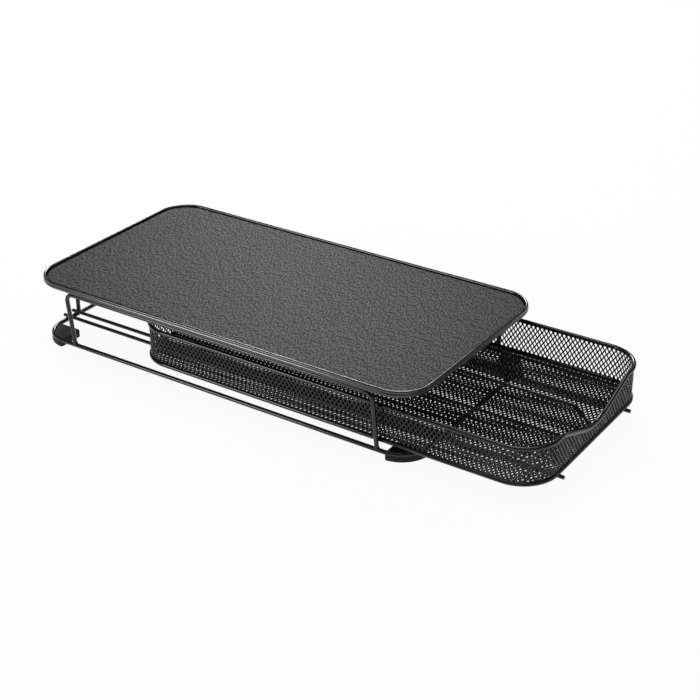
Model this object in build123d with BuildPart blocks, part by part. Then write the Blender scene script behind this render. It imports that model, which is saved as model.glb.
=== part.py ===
from build123d import *
import os
from math import atan2, cos, degrees, radians, sin, tan

os.makedirs("parts", exist_ok=True)

# Coffee pod drawer: a mesh basket with wire rims that slides out of a wire frame under a flat top.
#
# Millimetres. +X is the way the drawer opens, +Y the far side, +Z up, and the feet stand on z = 0. The drawer is
# built standing open by drawer_open, and the origin lies under the middle of the frame and drawer together.
# "near" is the -Y side, "rear" the end away from the opening.

# ---- Frame sizes ----
overall_height = 61.0
plate_end_overhang = 0.8
plate_side_overhang = 1.1
plate_corner = 28.0
plate_sheet = 0.8
plate_rim_depth = 5.6
plate_rim_width = 3.2
plate_rim_top_chamfer = 1.2
plate_rim_bottom_chamfer = 1.6
mat_thickness = 3.0
mat_chamfer = 0.6
mat_groove = 0.4

frame_wire = 3.6
base_corner = 20.0
frame_lean = 2.7
frame_rake = 2.7
rear_leg_inset = 37.4
front_leg_inset = 30.2
frame_bend = 7.0
stop_bend = 8.0

wire_sides = 8
wire_end_chamfer = 0.4

rail_wire = 3.0
rail_stub = 3.6
rail_play = 2.1

foot_height = 6.6
foot_floor = 4.1
foot_lip = 0.6
foot_length = 26.0
foot_width = 21.0
foot_inner_round = 2.0
foot_chamfer = 0.5

# ---- Drawer sizes ----
drawer_length = 362.0
drawer_width = 176.0
drawer_height = 28.6
drawer_corner = 29.0
rim_wire = 3.5
runner_wire = 3.0
runner_stub = 4.5
runner_spacing = 111.0
dip_margin = 6.0
dip_depth = 20.0
dip_shoulder_bend = 12.0
dip_bottom_bend = 55.0
sheet = 0.6
lanes = 4
divider_height = 24.2
divider_slope = 13.8
hem_width = 1.8
hem_depth = 2.4
hem_round = 0.6

# ---- Diamond net ----
net_border = 1.2
net_strand = 1.5
wall_cell = (16.8, 17.4)
floor_cell = (44.0, 43.5)
divider_cell = (33.0, 19.0)
smallest_trim = 0.3
corner_columns = 3

# ---- Clearances ----
channel_gap = 0.1
weld_gap = 0.05
leg_gap = 0.2
panel_seam = 0.1
running_gap = 0.3
edge_gap = 0.3
side_gap = 0.5
end_gap = 0.9

# ---- Travel at rest ----
drawer_open = 100.0

# ---- Heights and places worked out from the sizes ----
base_length = drawer_length + 2 * end_gap
base_width = drawer_width + rim_wire + 2 * side_gap + frame_wire
plate_length = base_length + frame_wire + 2 * plate_end_overhang
plate_width = base_width + frame_wire + 2 * (frame_lean + plate_side_overhang)
rail_length = base_length + 2 * rail_stub
runner_length = drawer_length + 2 * runner_stub
frame_x = (rail_length - runner_length) / 4 - drawer_open / 2
drawer_x = frame_x + drawer_open

deck_z = overall_height - plate_rim_depth
mat_z = deck_z + plate_sheet
top_wire_z = deck_z - frame_wire / 2 - weld_gap
base_z = foot_floor + channel_gap + frame_wire / 2
base_top_z = base_z + frame_wire / 2
rail_z = base_top_z + rail_wire / 2
runner_z = base_top_z + running_gap + runner_wire / 2
bottom_rim_z = runner_z + (runner_wire + rim_wire) / 2
top_rim_z = bottom_rim_z + drawer_height
floor_z = runner_z + runner_wire / 2 + weld_gap
floor_top_z = floor_z + sheet
wall_bottom_z = bottom_rim_z + rim_wire / 2 + weld_gap
wall_top_z = top_rim_z - rim_wire / 2 - weld_gap
stop_x = frame_x - base_length / 2
runner_y = runner_spacing / 2
rail_offset = (runner_wire + rail_wire) / 2 + rail_play
stop_width = runner_spacing - 2 * (rail_offset + edge_gap) - rail_wire - frame_wire
divider_spacing = drawer_width / lanes
dip_width = drawer_width - 2 * (drawer_corner + dip_margin)
dip_slope = atan2(dip_depth, dip_width / 2)


def wire_section(start, along, flat_side, diameter):
    """Many-sided section of wire, square to its run, with a flat towards flat_side as far off as a round one."""
    with BuildSketch(Plane(origin=start, x_dir=flat_side, z_dir=along)) as section:
        RegularPolygon(diameter / 2, wire_sides, major_radius=False, rotation=180 / wire_sides)
    return section.sketch


def bend_wire(points, radii, diameter, mode=Mode.ADD):
    """Run wire along straight lines joined by tangent bends, into the current sub-part."""
    with BuildLine() as route:
        FilletPolyline(*points, radius=radii)
    runs = route.wire().order_edges()
    bends = runs[1::2]
    for number, run in enumerate(runs):
        bend = bends[min(number // 2, len(bends) - 1)]
        bend_normal = (bend % 0).cross(bend % 1)
        section = wire_section(run @ 0, run % 0, bend_normal, diameter)
        if run == bend:
            turn = degrees(run.length / run.radius)
            revolve(section, axis=Axis(run.arc_center, bend_normal), revolution_arc=turn, mode=mode)
        else:
            extrude(section, amount=run.length, mode=mode)


def straight_wire(x_start, length, y, z, diameter):
    """Run a straight wire along +X with chamfered ends, into the current sub-part."""
    rod = extrude(wire_section((x_start, y, z), (1, 0, 0), (0, 0, 1), diameter), amount=length)
    ends = rod.faces().filter_by(Axis.X)
    chamfer(ends.edges(), wire_end_chamfer)


def dip_line(drop):
    """Corners and bend radii of the front rim's level-dip-level line, lowered square to itself by drop."""
    shoulder_y = dip_width / 2 + drop * tan(dip_slope / 2)
    level_z = top_rim_z - drop
    lowest_z = top_rim_z - dip_depth - drop / cos(dip_slope)
    corners = [(-shoulder_y, level_z), (0, lowest_z), (shoulder_y, level_z)]
    return corners, [dip_shoulder_bend - drop, dip_bottom_bend + drop, dip_shoulder_bend - drop]


def net(outline, cell):
    """The outline as one holed face: staggered diamonds within its border, trimmed where they meet it."""
    open_area = Face(outline.outer_wire().offset_2d(-net_border))
    box = open_area.bounding_box()
    width, height = cell
    row = height / 2
    diamond = Wire.make_polygon(
        [
            Vector(width / 2 - net_strand, 0),
            Vector(0, row - net_strand),
            Vector(net_strand - width / 2, 0),
            Vector(0, net_strand - row),
        ]
    )
    smallest = smallest_trim * Face(diamond).area
    columns = int(box.size.X / 2 / width) + 1
    rows = int(box.size.Y / 2 / row) + 1
    holes = []
    for j in range(-rows, rows + 1):
        for i in range(-columns, columns + 1):
            middle = Vector(box.center().X + (i + (j % 2) / 2) * width, box.center().Y + j * row)
            hole = diamond.moved(Location(middle))
            if all(open_area.is_inside(Vector(*corner)) for corner in hole.vertices()):
                holes.append(hole)
                continue
            trimmed = Face(hole) & open_area
            faces = trimmed.faces() if trimmed else []
            holes.extend(face.outer_wire() for face in faces if face.area > smallest)
    return Face(outline.outer_wire(), holes)


# ================================================================ Frame
with BuildPart() as top_plate:
    with BuildSketch(Plane.XY.offset(deck_z)):
        with Locations((frame_x, 0)):
            RectangleRounded(plate_length, plate_width, plate_corner)
    extrude(amount=plate_rim_depth)
    with BuildSketch(Plane.XY.offset(mat_z)):
        with Locations((frame_x, 0)):
            RectangleRounded(
                plate_length - 2 * plate_rim_width,
                plate_width - 2 * plate_rim_width,
                plate_corner - plate_rim_width,
            )
    extrude(amount=plate_rim_depth, mode=Mode.SUBTRACT)
    rim_top = top_plate.faces().sort_by(Axis.Z)[-1]
    underside = top_plate.faces().sort_by(Axis.Z)[0]
    chamfer(rim_top.outer_wire().edges(), plate_rim_top_chamfer)
    chamfer(underside.edges(), plate_rim_bottom_chamfer)
top_plate.part.label = "top_plate"
export_step(top_plate.part, "parts/top_plate.step")

with BuildPart() as top_mat:
    mat_inset = plate_rim_width + mat_groove
    with BuildSketch(Plane.XY.offset(mat_z)):
        with Locations((frame_x, 0)):
            RectangleRounded(plate_length - 2 * mat_inset, plate_width - 2 * mat_inset, plate_corner - mat_inset)
    extrude(amount=mat_thickness)
    chamfer(top_mat.faces().sort_by(Axis.Z)[-1].edges(), mat_chamfer)
top_mat.part.label = "top_mat"
export_step(top_mat.part, "parts/top_mat.step")

# The base loop is bent from one wire, in two halves that meet at the middle of the long sides.
with BuildPart() as base_loop:
    for end in (1, -1):
        reach = frame_x + end * base_length / 2
        bend_wire(
            [
                (frame_x, -end * base_width / 2, base_z),
                (reach, -end * base_width / 2, base_z),
                (reach, end * base_width / 2, base_z),
                (frame_x, end * base_width / 2, base_z),
            ],
            [base_corner, base_corner],
            frame_wire,
        )
base_loop.part.label = "base_loop"
export_step(base_loop.part, "parts/base_loop.step")

# The side frames stand on the base loop, lean outwards up to the plate and rake back a little.
rear_leg_x = frame_x - base_length / 2 + rear_leg_inset
front_leg_x = frame_x + base_length / 2 - front_leg_inset
for name, side in (("side_frame_near", -1), ("side_frame_far", 1)):
    foot_y = side * base_width / 2
    top_y = side * (base_width / 2 + frame_lean)
    with BuildPart() as side_frame:
        bend_wire(
            [
                (rear_leg_x, foot_y, base_top_z + leg_gap),
                (rear_leg_x - frame_rake, top_y, top_wire_z),
                (front_leg_x - frame_rake, top_y, top_wire_z),
                (front_leg_x, foot_y, base_top_z + leg_gap),
            ],
            [frame_bend, frame_bend],
            frame_wire,
        )
    side_frame.part.label = name
    export_step(side_frame.part, f"parts/{name}.step")

with BuildPart() as rear_stop:
    bend_wire(
        [
            (stop_x, -stop_width / 2, base_top_z),
            (stop_x, -stop_width / 2, top_wire_z),
            (stop_x, stop_width / 2, top_wire_z),
            (stop_x, stop_width / 2, base_top_z),
        ],
        [stop_bend, stop_bend],
        frame_wire,
    )
rear_stop.part.label = "rear_stop"
export_step(rear_stop.part, "parts/rear_stop.step")

# A pair of rails lies on the base loop under each side of the drawer, with its runner between them.
for name, side, outward in (
    ("rail_near_outer", -1, 1),
    ("rail_near_inner", -1, -1),
    ("rail_far_inner", 1, -1),
    ("rail_far_outer", 1, 1),
):
    with BuildPart() as rail:
        rail_y = side * (runner_y + outward * rail_offset)
        straight_wire(frame_x - rail_length / 2, rail_length, rail_y, rail_z, rail_wire)
    rail.part.label = name
    export_step(rail.part, f"parts/{name}.step")

# Rubber corner feet, each with a channel that the base loop's corner is pressed down into.
foot_reach = frame_wire / 2 + channel_gap + foot_lip
foot_centre_x = base_length - foot_length
foot_centre_y = base_width - foot_width
for name, end, side in (
    ("foot_near_front", 1, -1),
    ("foot_near_rear", -1, -1),
    ("foot_far_front", 1, 1),
    ("foot_far_rear", -1, 1),
):
    with BuildPart() as foot:
        with BuildSketch(Plane.XY):
            with Locations((frame_x, 0)):
                RectangleRounded(base_length + 2 * foot_reach, base_width + 2 * foot_reach, base_corner + foot_reach)
            with Locations((frame_x + end * foot_centre_x, side * foot_centre_y)):
                Rectangle(base_length, base_width, mode=Mode.INTERSECT)
        extrude(amount=foot_height)
        inner_corner = foot.edges().filter_by(Axis.Z).sort_by_distance((frame_x, 0, foot_height / 2))[0]
        fillet(inner_corner, foot_inner_round)
        chamfer(foot.faces().sort_by(Axis.Z)[0].edges(), foot_chamfer)
        loop_side = side * base_width / 2
        loop_end = frame_x + end * base_length / 2
        bend_wire(
            [(frame_x, loop_side, base_z), (loop_end, loop_side, base_z), (loop_end, 0, base_z)],
            [base_corner],
            frame_wire + 2 * channel_gap,
            mode=Mode.SUBTRACT,
        )
    foot.part.label = name
    export_step(foot.part, f"parts/{name}.step")

# ================================================================ Drawer
drawer_end = drawer_length / 2
drawer_side = drawer_width / 2
front_x = drawer_x + drawer_end
back_x = drawer_x - drawer_end
back_half = [
    (drawer_x, drawer_side),
    (back_x, drawer_side),
    (back_x, -drawer_side),
    (drawer_x, -drawer_side),
]
front_half = [
    (drawer_x, -drawer_side),
    (front_x, -drawer_side),
    (front_x, drawer_side),
    (drawer_x, drawer_side),
]

# The top rim dips in the middle of the front, where a hand reaches over it to the pods.
with BuildPart() as drawer_top_rim:
    bend_wire([(x, y, top_rim_z) for x, y in back_half], [drawer_corner, drawer_corner], rim_wire)
    dip_corners, dip_bends = dip_line(0)
    front_run = [(x, y, top_rim_z) for x, y in front_half]
    front_run[2:2] = [(front_x, y, z) for y, z in dip_corners]
    bend_wire(front_run, [drawer_corner, *dip_bends, drawer_corner], rim_wire)
drawer_top_rim.part.label = "drawer_top_rim"
export_step(drawer_top_rim.part, "parts/drawer_top_rim.step")

with BuildPart() as drawer_bottom_rim:
    for half in (back_half, front_half):
        bend_wire([(x, y, bottom_rim_z) for x, y in half], [drawer_corner, drawer_corner], rim_wire)
drawer_bottom_rim.part.label = "drawer_bottom_rim"
export_step(drawer_bottom_rim.part, "parts/drawer_bottom_rim.step")

for name, side in (("runner_near", -1), ("runner_far", 1)):
    with BuildPart() as runner:
        straight_wire(drawer_x - runner_length / 2, runner_length, side * runner_y, runner_z, runner_wire)
    runner.part.label = name
    export_step(runner.part, f"parts/{name}.step")

# The floor net lies on the runners, inside the bottom rim.
with BuildPart() as drawer_floor:
    with BuildSketch(Plane.XY.offset(floor_z)) as floor_sheet:
        with Locations((drawer_x, 0)):
            RectangleRounded(drawer_length - rim_wire, drawer_width - rim_wire, drawer_corner - rim_wire / 2)
        add(net(floor_sheet.sketch_local.face(), floor_cell), mode=Mode.REPLACE)
    extrude(amount=sheet)
drawer_floor.part.label = "drawer_floor"
export_step(drawer_floor.part, "parts/drawer_floor.step")

# The net walls stand between the rims: two flat sides, and a front and a back bent round the corners to meet them.
wall_length = drawer_length - 2 * drawer_corner - 2 * panel_seam
end_length = drawer_width - 2 * drawer_corner
wall_height = wall_top_z - wall_bottom_z
wall_middle_z = (wall_top_z + wall_bottom_z) / 2


def bent_corner(end, side):
    """Add a quarter-round corner of net to the current sub-part, its diamonds punched square to the curve."""
    bend_x = drawer_x + end * (drawer_end - drawer_corner)
    bend_y = side * (drawer_side - drawer_corner)
    start_angle = degrees(atan2(side, end)) - 45
    with BuildSketch(Plane.XY.offset(wall_bottom_z)) as section:
        with BuildLine():
            outer = CenterArc((bend_x, bend_y), drawer_corner + sheet / 2, start_angle, 90)
            inner = CenterArc((bend_x, bend_y), drawer_corner - sheet / 2, start_angle, 90)
            Line(outer @ 0, inner @ 0)
            Line(outer @ 1, inner @ 1)
        make_face()
    extrude(section.sketch, amount=wall_height)
    half_width = radians(90 / corner_columns) * drawer_corner / 2 - net_strand
    half_height = wall_cell[1] / 2 - net_strand
    for row in (-1, 0, 1):
        stagger = row % 2
        row_height = row * wall_cell[1] / 2
        for column in range(corner_columns - stagger):
            angle = radians(start_angle + (column + 0.5 + stagger / 2) * 90 / corner_columns)
            hole_plane = Plane(
                origin=(bend_x, bend_y, wall_middle_z),
                x_dir=(-sin(angle), cos(angle), 0),
                z_dir=(cos(angle), sin(angle), 0),
            )
            with BuildSketch(hole_plane.offset(drawer_corner / 2)) as hole:
                with Locations((0, row_height)):
                    Polygon((half_width, 0), (0, half_height), (-half_width, 0), (0, -half_height))
                Rectangle(drawer_corner, wall_height - 2 * net_border, mode=Mode.INTERSECT)
            extrude(hole.sketch, amount=drawer_corner, mode=Mode.SUBTRACT)


for name, side in (("drawer_near_wall", -1), ("drawer_far_wall", 1)):
    with BuildPart() as wall:
        with BuildSketch(Plane.XZ.offset(-side * drawer_side - sheet / 2)) as wall_sheet:
            with Locations((drawer_x, wall_middle_z)):
                Rectangle(wall_length, wall_height)
            add(net(wall_sheet.sketch_local.face(), wall_cell), mode=Mode.REPLACE)
        extrude(amount=sheet)
    wall.part.label = name
    export_step(wall.part, f"parts/{name}.step")

with BuildPart() as drawer_back_wall:
    with BuildSketch(Plane.YZ.offset(back_x - sheet / 2)) as back_sheet:
        with Locations((0, wall_middle_z)):
            Rectangle(end_length, wall_height)
        add(net(back_sheet.sketch_local.face(), wall_cell), mode=Mode.REPLACE)
    extrude(amount=sheet)
    bent_corner(-1, -1)
    bent_corner(-1, 1)
drawer_back_wall.part.label = "drawer_back_wall"
export_step(drawer_back_wall.part, "parts/drawer_back_wall.step")

# The front net's top edge follows the dip of the rim above it.
with BuildPart() as drawer_front_wall:
    edge_corners, edge_bends = dip_line(top_rim_z - wall_top_z)
    with BuildSketch(Plane.YZ.offset(front_x - sheet / 2)) as front_sheet:
        with BuildLine():
            top_edge = FilletPolyline(
                (-end_length / 2, wall_top_z), *edge_corners, (end_length / 2, wall_top_z), radius=edge_bends
            )
            Polyline(
                top_edge @ 1, (end_length / 2, wall_bottom_z), (-end_length / 2, wall_bottom_z), top_edge @ 0
            )
        make_face()
        add(net(front_sheet.sketch_local.face(), wall_cell), mode=Mode.REPLACE)
    extrude(amount=sheet)
    bent_corner(1, -1)
    bent_corner(1, 1)
drawer_front_wall.part.label = "drawer_front_wall"
export_step(drawer_front_wall.part, "parts/drawer_front_wall.step")

# Lengthwise dividers stand on the floor net and keep the pods in four lanes. Each is a strip of net with a hemmed
# top edge, and the middle one slopes down at the front to stay under the dip.
divider_length = drawer_length - rim_wire - 2 * edge_gap
divider_z = floor_top_z + weld_gap
for name, divider_y, slope in (
    ("divider_near", -divider_spacing, 0),
    ("divider_middle", 0, divider_slope),
    ("divider_far", divider_spacing, 0),
):
    with BuildPart() as divider:
        with BuildSketch(Plane.XZ.offset(-divider_y - sheet / 2)) as strip:
            with Locations((drawer_x, divider_z + divider_height / 2)):
                Rectangle(divider_length, divider_height)
            if slope:
                front_top = strip.vertices().sort_by(Axis.X)[-2:].sort_by(Axis.Y)[-1]
                chamfer(front_top, slope)
            add(net(strip.sketch_local.face(), divider_cell), mode=Mode.REPLACE)
        extrude(amount=sheet)
        with BuildSketch(Plane.YZ.offset(drawer_x - divider_length / 2)):
            with Locations((divider_y, divider_z + divider_height)):
                hem = Rectangle(hem_width, hem_depth, align=(Align.CENTER, Align.MAX))
            fillet(hem.vertices(), hem_round)
        extrude(amount=divider_length - slope)
    divider.part.label = name
    export_step(divider.part, f"parts/{name}.step")
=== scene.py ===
"""Looks of a coffee pod drawer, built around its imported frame.

A wire frame on four rubber feet carries a shallow plate with an embossed mat. A drawer of diamond mesh with
wire rims slides under the plate on two runners. Sizes are in metres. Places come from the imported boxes.
"""

import logging
import math
from dataclasses import dataclass, field
from enum import Enum
from typing import Callable, Sequence

import bpy
import numpy as np
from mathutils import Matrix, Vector


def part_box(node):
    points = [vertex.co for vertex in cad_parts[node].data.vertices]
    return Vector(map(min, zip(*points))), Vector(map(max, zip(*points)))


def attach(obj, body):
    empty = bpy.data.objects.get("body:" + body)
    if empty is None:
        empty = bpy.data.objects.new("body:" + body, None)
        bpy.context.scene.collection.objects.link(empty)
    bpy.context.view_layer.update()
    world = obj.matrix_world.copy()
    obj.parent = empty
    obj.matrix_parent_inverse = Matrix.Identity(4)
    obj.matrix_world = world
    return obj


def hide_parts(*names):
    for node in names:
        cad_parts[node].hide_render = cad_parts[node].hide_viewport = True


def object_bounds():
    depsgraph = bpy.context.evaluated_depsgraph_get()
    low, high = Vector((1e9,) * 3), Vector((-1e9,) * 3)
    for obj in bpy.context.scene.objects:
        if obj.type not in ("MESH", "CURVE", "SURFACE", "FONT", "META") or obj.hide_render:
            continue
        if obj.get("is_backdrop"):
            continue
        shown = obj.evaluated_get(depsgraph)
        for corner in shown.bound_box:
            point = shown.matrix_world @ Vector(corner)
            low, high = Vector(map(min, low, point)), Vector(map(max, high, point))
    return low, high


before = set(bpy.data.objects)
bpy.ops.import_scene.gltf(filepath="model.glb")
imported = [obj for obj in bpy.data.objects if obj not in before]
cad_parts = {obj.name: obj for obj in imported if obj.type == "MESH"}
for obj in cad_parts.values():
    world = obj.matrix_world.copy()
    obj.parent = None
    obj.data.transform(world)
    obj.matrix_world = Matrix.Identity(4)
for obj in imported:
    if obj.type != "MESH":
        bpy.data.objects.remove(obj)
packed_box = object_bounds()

log = logging.getLogger("pod_drawer")

MM = 0.001
UP = Vector((0.0, 0.0, 1.0))
LENGTHWISE = Vector((1.0, 0.0, 0.0))
SIDEWAYS = Vector((0.0, 1.0, 0.0))
QUARTER = math.pi / 2
# Degrees of arc that one step of a rounded section takes.
ARC_STEP = 15.0
RAILS = ("rail_near_outer", "rail_near_inner", "rail_far_inner", "rail_far_outer")
RUNNERS = ("runner_near", "runner_far")
WHITE = (1.0, 1.0, 1.0, 1.0)

# Two numbers in a plane; a row of them; what moves a net's point inside its outline; what puts it in space.
Flat = tuple[float, float]
Section = list[Flat]
Limit = Callable[[float, float, float], Flat]
Placed = Callable[[float, float, float], Vector]


class Body(Enum):
    """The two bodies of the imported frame."""

    FRAME = "frame"
    DRAWER = "drawer"


class Slot(Enum):
    """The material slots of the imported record."""

    TOP_STEEL = "top_steel"
    TOP_MAT = "top_mat"
    WIRE_STEEL = "wire_steel"
    MESH_STEEL = "mesh_steel"
    FOOT_RUBBER = "foot_rubber"


class Side(Enum):
    """The two long sides, each with its way along Y."""

    NEAR = -1
    FAR = 1


class End(Enum):
    """The two ends, each with its way along X."""

    FRONT = 1
    REAR = -1


# ---------------------------------------------------------------- Shaders
class Signal:
    """A number inside a shader, which Python's operators turn into Math nodes."""

    def __init__(self, graph: "Graph", socket: bpy.types.NodeSocket) -> None:
        """Keep the graph and the output socket that carries the number."""
        self.graph = graph
        self.socket = socket

    def __add__(self, other: "Signal | float") -> "Signal":
        """Sum."""
        return self.graph.math("ADD", self, other)

    __radd__ = __add__

    def __rsub__(self, other: float) -> "Signal":
        """Difference from a plain number."""
        return self.graph.math("SUBTRACT", other, self)

    def __mul__(self, other: "Signal | float") -> "Signal":
        """Product."""
        return self.graph.math("MULTIPLY", self, other)

    __rmul__ = __mul__

    def between(self, low: float, high: float) -> "Signal":
        """Spread a part of the signal's range out smoothly.

        Args:
            low: The signal that becomes 0, as does all below it.
            high: The signal that becomes 1, as does all above it.

        Returns:
            The new signal.
        """
        mapped = self.graph.node(
            "ShaderNodeMapRange",
            {"interpolation_type": "SMOOTHSTEP"},
            {"Value": self, "From Min": low, "From Max": high},
        )
        return Signal(self.graph, mapped.outputs["Result"])


class Graph:
    """The node tree of a material or of the world."""

    def __init__(self, tree: bpy.types.NodeTree) -> None:
        """Empty the tree and keep it."""
        tree.nodes.clear()
        self.tree = tree

    def node(
        self,
        kind: str,
        settings: dict[str, object] | None = None,
        inputs: dict[str | int, object] | None = None,
    ) -> bpy.types.Node:
        """Add one node.

        Args:
            kind: Blender's name of the node's type.
            settings: Properties set before the sockets.
            inputs: Values, signals or sockets for the node's inputs, by name or number.

        Returns:
            The new node.
        """
        made = self.tree.nodes.new(kind)
        for key, value in (settings or {}).items():
            setattr(made, key, value)
        for key, value in (inputs or {}).items():
            if isinstance(value, Signal):
                self.tree.links.new(value.socket, made.inputs[key])
            elif isinstance(value, bpy.types.NodeSocket):
                self.tree.links.new(value, made.inputs[key])
            else:
                made.inputs[key].default_value = value
        return made

    def math(self, operation: str, *values: Signal | float) -> Signal:
        """Add a Math node.

        Args:
            operation: Blender's name of the operation.
            values: Its one or two inputs.

        Returns:
            The result.
        """
        made = self.node("ShaderNodeMath", {"operation": operation}, dict(enumerate(values)))
        return Signal(self, made.outputs[0])

    def place(self, stretch: Sequence[float] = (1.0, 1.0, 1.0), turn: float = 0.0) -> bpy.types.NodeSocket:
        """Give the place on the piece, turned about the vertical and stretched.

        Args:
            stretch: Factors along X, Y and Z, after the turn.
            turn: Angle in radians.

        Returns:
            The vector output.
        """
        coordinates = self.node("ShaderNodeTexCoord")
        turned = self.node(
            "ShaderNodeVectorRotate",
            {"rotation_type": "Z_AXIS"},
            {"Vector": coordinates.outputs["Object"], "Angle": turn},
        )
        scaled = self.node(
            "ShaderNodeVectorMath",
            {"operation": "MULTIPLY"},
            {0: turned.outputs["Vector"], 1: tuple(stretch)},
        )
        return scaled.outputs["Vector"]

    def noise(self, grain: float, detail: float) -> Signal:
        """Give smooth noise from 0 to 1.

        Args:
            grain: Size of its blotches in metres.
            detail: Octaves of finer noise.

        Returns:
            The noise.
        """
        made = self.node(
            "ShaderNodeTexNoise",
            {"noise_dimensions": "3D"},
            {"Vector": self.place(), "Scale": 1 / grain, "Detail": detail},
        )
        return Signal(self, made.outputs["Fac"])

    def pebbles(self, stretch: Sequence[float], turn: float, randomness: float) -> Signal:
        """Give the distance from the middle of the nearest of many small level cells.

        Args:
            stretch: Cells in a metre along X, Y and Z, after the turn.
            turn: Angle of the rows of cells, in radians.
            randomness: How far the cells stray from straight rows, from 0 to 1.

        Returns:
            The distance, as a share of a cell.
        """
        made = self.node(
            "ShaderNodeTexVoronoi",
            {"voronoi_dimensions": "2D", "feature": "F1"},
            {"Vector": self.place(stretch, turn), "Scale": 1.0, "Randomness": randomness},
        )
        return Signal(self, made.outputs["Distance"])

    def mix(self, share: Signal, low: Sequence[float], high: Sequence[float]) -> bpy.types.NodeSocket:
        """Blend two colours.

        Args:
            share: 0 for the first colour, 1 for the second.
            low: First colour, linear red, green and blue.
            high: Second colour.

        Returns:
            The colour output.
        """
        inputs = {0: share, 6: (*low, 1.0), 7: (*high, 1.0)}
        return self.node("ShaderNodeMix", {"data_type": "RGBA"}, inputs).outputs[2]

    def bump(self, height: Signal, depth: float) -> bpy.types.NodeSocket:
        """Turn a height from 0 to 1 into a bumped normal.

        Args:
            height: The height.
            depth: Height of 1, in metres.

        Returns:
            The normal output.
        """
        inputs = {"Height": height, "Distance": depth, "Strength": 1.0}
        return self.node("ShaderNodeBump", None, inputs).outputs["Normal"]

    def surface(self, inputs: dict[str | int, object]) -> None:
        """Finish a material with a Principled shader that has these inputs."""
        shader = self.node("ShaderNodeBsdfPrincipled", None, inputs)
        self.node("ShaderNodeOutputMaterial", None, {"Surface": shader.outputs[0]})


@dataclass(frozen=True)
class Finish:
    """What a surface is made of; each kind of finish says how its shader is built.

    Attributes:
        name: The material's name.
        slot: The record's material slot that it stands for; not used.
    """

    name: str
    slot: Slot

    def shade(self, graph: Graph) -> None:
        """Build the shader in an empty graph."""
        raise NotImplementedError

    def material(self) -> bpy.types.Material:
        """Make the finish's material, or find the one already made.

        Returns:
            The material.
        """
        found = bpy.data.materials.get(self.name)
        if found is None:
            found = bpy.data.materials.new(self.name)
            found.use_nodes = True
            self.shade(Graph(found.node_tree))
        return found


@dataclass(frozen=True)
class BlackEnamel(Finish):
    """Glossy black enamel over steel, with the slight orange peel of a sprayed coat.

    Attributes:
        dark: Colour where the coat is thick.
        light: Colour where it is thin or dusty.
        gloss_low: Roughness of its smoothest places.
        gloss_high: Roughness of its dullest places.
        peel: Size of the peel's dimples.
        peel_depth: Their depth.
        cloud: Size of the patches of different gloss.
        specular: Strength of its reflection.
        specks: How many specks of dust would span a dimple.
        dust_range: The part of the noise that makes the specks' soft edges.
        dust_share: How much of the colour change is dust, the rest being cloud.
        dust_dulling: How much rougher a speck is.
    """

    dark: tuple[float, float, float] = (0.002, 0.002, 0.0023)
    light: tuple[float, float, float] = (0.006, 0.006, 0.0066)
    gloss_low: float = 0.14
    gloss_high: float = 0.24
    peel: float = 0.9 * MM
    peel_depth: float = 0.012 * MM
    cloud: float = 22 * MM
    specular: float = 0.7
    specks: float = 3.0
    dust_range: tuple[float, float] = (0.62, 0.78)
    dust_share: float = 0.3
    dust_dulling: float = 0.06

    def shade(self, graph: Graph) -> None:
        """Build enamel: clouded gloss, fine dust specks and a shallow peel.

        Args:
            graph: The material's empty graph.
        """
        cloud = graph.noise(self.cloud, 3.0)
        dust = graph.noise(self.peel / self.specks, 1.0).between(*self.dust_range)
        peel = graph.noise(self.peel, 2.0)
        share = cloud * (1 - self.dust_share) + dust * self.dust_share
        gloss = self.gloss_low + (self.gloss_high - self.gloss_low) * cloud
        graph.surface(
            {
                "Base Color": graph.mix(share, self.dark, self.light),
                "Roughness": gloss + dust * self.dust_dulling,
                "Specular IOR Level": self.specular,
                "Normal": graph.bump(peel, self.peel_depth),
            }
        )


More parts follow.
